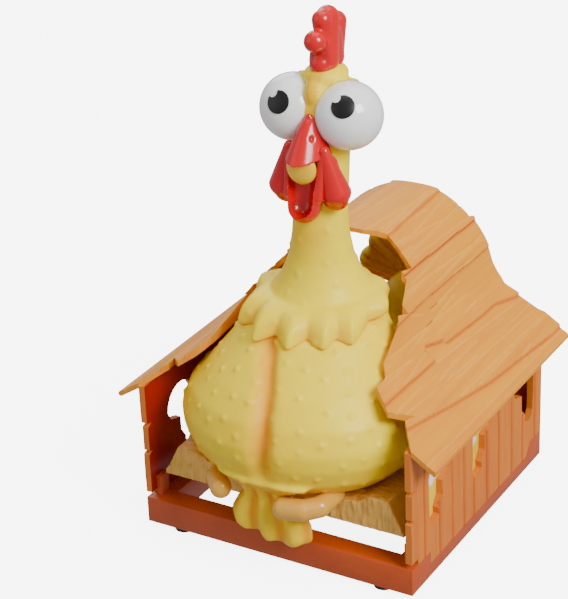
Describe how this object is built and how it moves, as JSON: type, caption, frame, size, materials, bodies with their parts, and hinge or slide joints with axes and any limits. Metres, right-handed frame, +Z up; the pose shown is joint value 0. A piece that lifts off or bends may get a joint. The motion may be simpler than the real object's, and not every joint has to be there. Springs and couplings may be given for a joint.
{
  "type": "chicken toy",
  "caption": "Press-down hopping chicken toy: soft yellow chicken on a sprung perch in a small hen house with a broken roof, with rack, pinion, latch and squawker bellows inside.",
  "frame": {"origin": "middle of the footprint on the plane that the rubber feet rest on", "axes": "+Z up, -Y the front that the chicken faces, +X to the right seen from the front"},
  "size_m": [0.154, 0.1674, 0.2332],
  "materials": {
    "house_orange": "satin moulded plank grain",
    "roof_gold": "satin moulded plank grain",
    "rear_red": "satin",
    "foot_rubber": "matte",
    "card_print": "coated card",
    "tray_black": "satin",
    "gearbox_grey": "satin",
    "zinc_steel": "zinc plated",
    "spring_steel": "drawn wire",
    "bellows_rubber": "matte",
    "reed_ivory": "satin",
    "perch_tan": "bark and straw texture",
    "toe_tan": "soft gloss",
    "bush_white": "acetal",
    "drive_white": "acetal",
    "core_grey": "satin",
    "yellow_vinyl": "soft vinyl, satin",
    "eye_white": "glossy",
    "pupil_black": "glossy",
    "comb_red": "glossy",
    "tongue_yellow": "satin",
    "cam_red": "acetal",
    "latch_orange": "acetal"
  },
  "bodies": {
    "coop": {"base_frame": "house_orange", "rubber_feet": "foot_rubber", "left_wall": "house_orange", "right_wall": "house_orange", "rear_wall": "rear_red", "roof": "roof_gold", "window_card": "card_print", "mechanism_tray": "tray_black", "tray_screws": "zinc_steel", "guide_posts": "zinc_steel", "gearbox_left": "gearbox_grey", "gearbox_right": "gearbox_grey", "gearbox_bolts": "zinc_steel", "cheek_screws": "zinc_steel", "latch_pin": "zinc_steel", "reed_box": "reed_ivory", "squawk_bellows": "bellows_rubber", "return_springs": "spring_steel"},
    "pump": {"perch_platform": "perch_tan", "post_bushes": "bush_white", "toes": "toe_tan", "plunger_rack": "drive_white", "plunger_screws": "zinc_steel", "body_core": "core_grey", "core_screws": "zinc_steel", "body_skin": "yellow_vinyl", "neck_cape": "yellow_vinyl", "left_eye": "eye_white", "right_eye": "eye_white", "left_pupil": "pupil_black", "right_pupil": "pupil_black", "comb": "comb_red", "upper_beak": "comb_red", "lower_beak": "comb_red", "tongue": "tongue_yellow", "left_wattle": "comb_red", "right_wattle": "comb_red", "tail_fan": "yellow_vinyl", "tail_screw": "zinc_steel"},
    "pinion": {"cam_shaft": "zinc_steel", "pinion_gear": "drive_white", "timing_cam": "cam_red"},
    "latch": {"latch_lever": "latch_orange"}
  },
  "joints": [
    {"name": "pump_slide", "type": "slide", "parent": "coop", "child": "pump", "axis": [0, 0, 1], "range_m": [-0.01, 0], "stiffness_N_per_m": 600, "springref_m": 0.012, "deforming": ["squawk_bellows", "return_springs"]},
    {"name": "pinion_spin", "type": "hinge", "parent": "coop", "child": "pinion", "pos_m": [0, 0.028, 0.022], "axis": [1, 0, 0], "range_deg": [0, 96]},
    {"name": "latch_swing", "type": "hinge", "parent": "coop", "child": "latch", "pos_m": [0, 0.03, 0.012], "axis": [1, 0, 0], "range_deg": [0, 16], "stiffness_Nm_per_rad": 0.002, "springref_deg": -17.19}
  ],
  "couplings": [
    {"joint": "pinion_spin", "follows": "pump_slide", "rad_per_m": -166.67}
  ]
}
